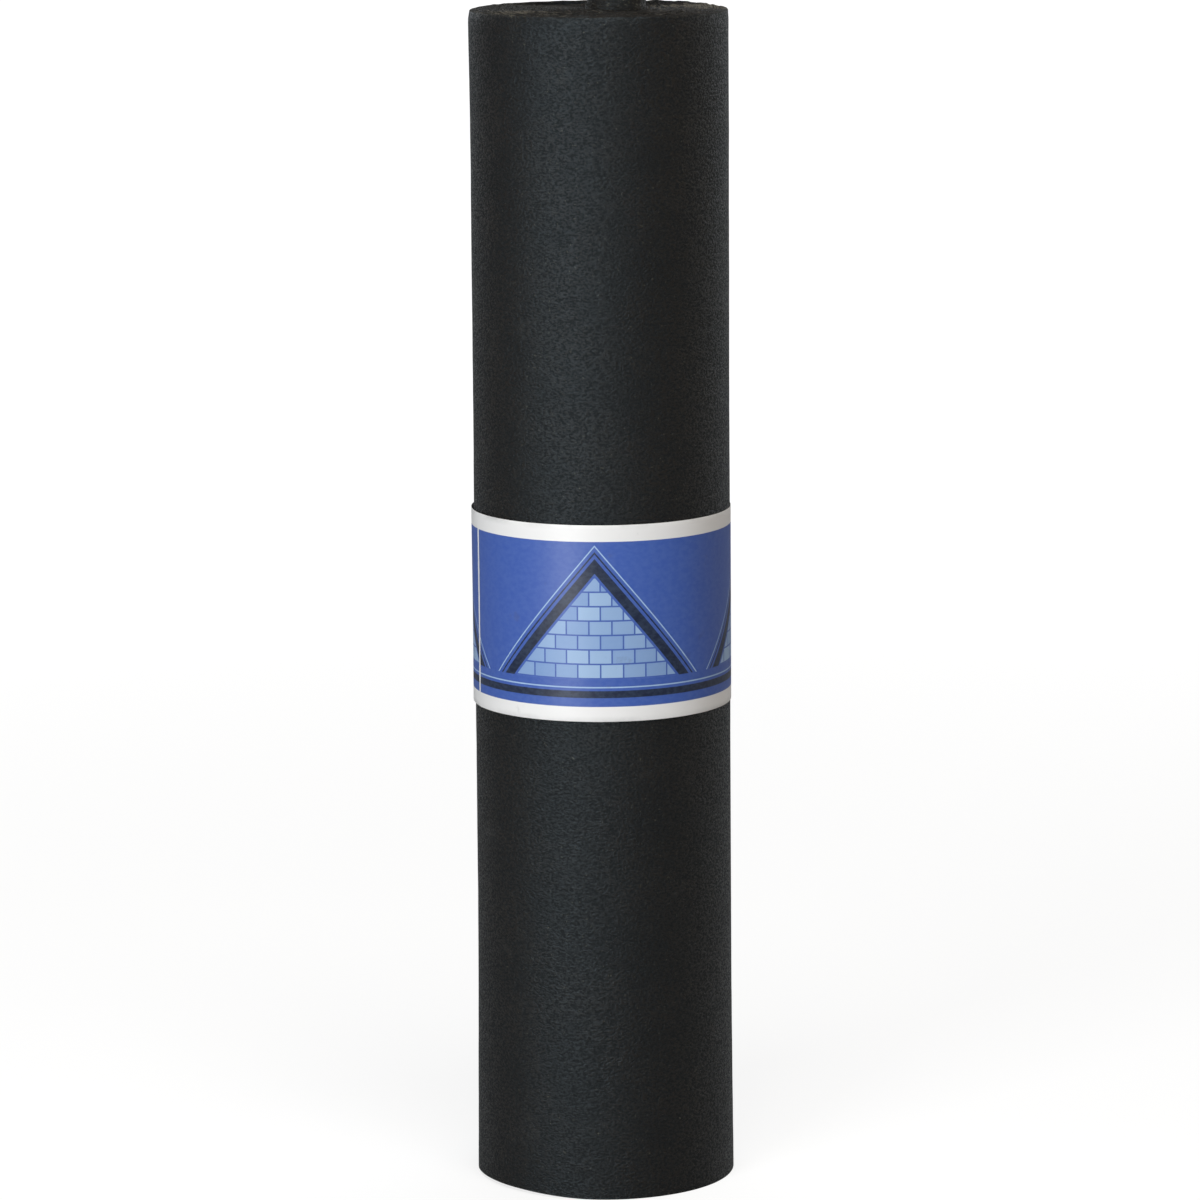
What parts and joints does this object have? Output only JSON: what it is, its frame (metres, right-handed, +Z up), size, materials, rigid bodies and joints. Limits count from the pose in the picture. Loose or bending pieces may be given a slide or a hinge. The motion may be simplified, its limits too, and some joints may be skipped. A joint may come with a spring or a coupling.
{
  "type": "roll of roofing felt",
  "caption": "Tall black roll of roofing felt standing on its end, with an off-centre bore, wound turns showing on both ends and a blue and white paper band round its middle.",
  "frame": {"origin": "on the roll's axis at the level of the floor that it stands on", "axes": "+Z up along the roll's axis, -Y towards the front of the paper band, +X to its right, towards which the bore is off centre"},
  "size_m": [0.2013, 0.2012, 0.9267],
  "materials": {
    "felt": "asphalt-saturated felt, black, matt with a soft sheen",
    "band_paper": "printed paper, mid blue with white borders, semi-matt"
  },
  "bodies": {
    "root": {"felt_roll": "felt", "paper_band": "band_paper"}
  },
  "joints": []
}
